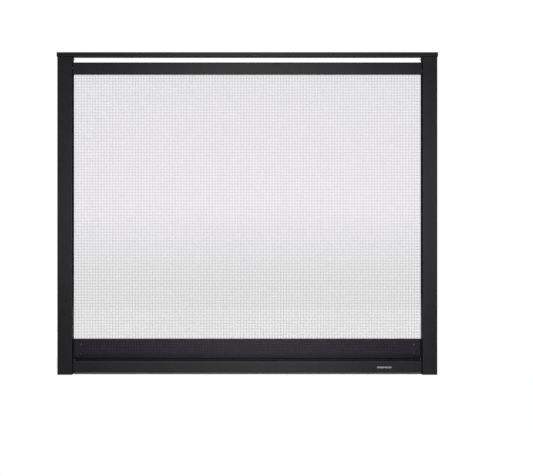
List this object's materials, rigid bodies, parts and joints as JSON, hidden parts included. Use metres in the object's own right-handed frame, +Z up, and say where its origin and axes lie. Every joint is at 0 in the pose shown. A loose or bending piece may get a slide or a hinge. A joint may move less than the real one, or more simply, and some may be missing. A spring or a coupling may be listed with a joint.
{
  "type": "fireplace screen",
  "caption": "Black folded-steel fireplace front: a top bar and side columns around a see-through woven wire panel that hangs from a rod, lifts and swings out.",
  "frame": {"origin": "on the floor, at the middle of the width and of the depth of the whole part", "axes": "+X to the right seen from the front, -Y towards the room (the front face), +Y towards the wall, +Z up"},
  "size_m": [1.041, 0.064, 0.881],
  "materials": {
    "black_powder_coat": "satin",
    "black_plastic": "matte",
    "black_rubber": "matte",
    "ferrite": "matte",
    "zinc_steel": "satin",
    "rivet_steel": "satin",
    "woven_wire": "satin",
    "brushed_aluminium": "satin",
    "black_fastener": "satin"
  },
  "bodies": {
    "surround": {"top_bar": "black_powder_coat", "bar_plug_left": "black_plastic", "bar_plug_right": "black_plastic", "column_left": "black_powder_coat", "column_right": "black_powder_coat", "foot_pad_left": "black_rubber", "foot_pad_right": "black_rubber", "corner_bracket_left": "zinc_steel", "corner_bracket_right": "zinc_steel", "bar_screws": "black_fastener", "corner_screws": "black_fastener", "sill_plate": "black_powder_coat", "sill_bracket_left": "black_powder_coat", "sill_bracket_right": "black_powder_coat", "sill_screws": "black_fastener", "catch_housing_left": "black_plastic", "catch_housing_right": "black_plastic", "catch_magnet_left": "ferrite", "catch_magnet_right": "ferrite", "catch_screws": "black_fastener", "cradle_left": "zinc_steel", "cradle_right": "zinc_steel", "cradle_rivets": "rivet_steel"},
    "hanger": {"hanger_rod": "zinc_steel", "rod_clips": "zinc_steel"},
    "screen_panel": {"upper_rail": "black_powder_coat", "bottom_bar": "black_powder_coat", "stile_left": "black_powder_coat", "stile_right": "black_powder_coat", "screen_mesh": "woven_wire", "retainer_top": "black_powder_coat", "retainer_bottom": "black_powder_coat", "rivets_top": "black_fastener", "rivets_bottom": "black_fastener", "eye_left": "zinc_steel", "eye_right": "zinc_steel", "eye_screws": "black_fastener", "nameplate": "brushed_aluminium"}
  },
  "joints": [
    {"name": "panel_lift", "type": "slide", "parent": "surround", "child": "hanger", "axis": [0, 0, 1], "range_m": [0, 0.0055]},
    {"name": "panel_swing", "type": "hinge", "parent": "hanger", "child": "screen_panel", "pos_m": [0, -0.0045, 0.8428], "axis": [-1, 0, 0], "range_deg": [0, 18]}
  ]
}
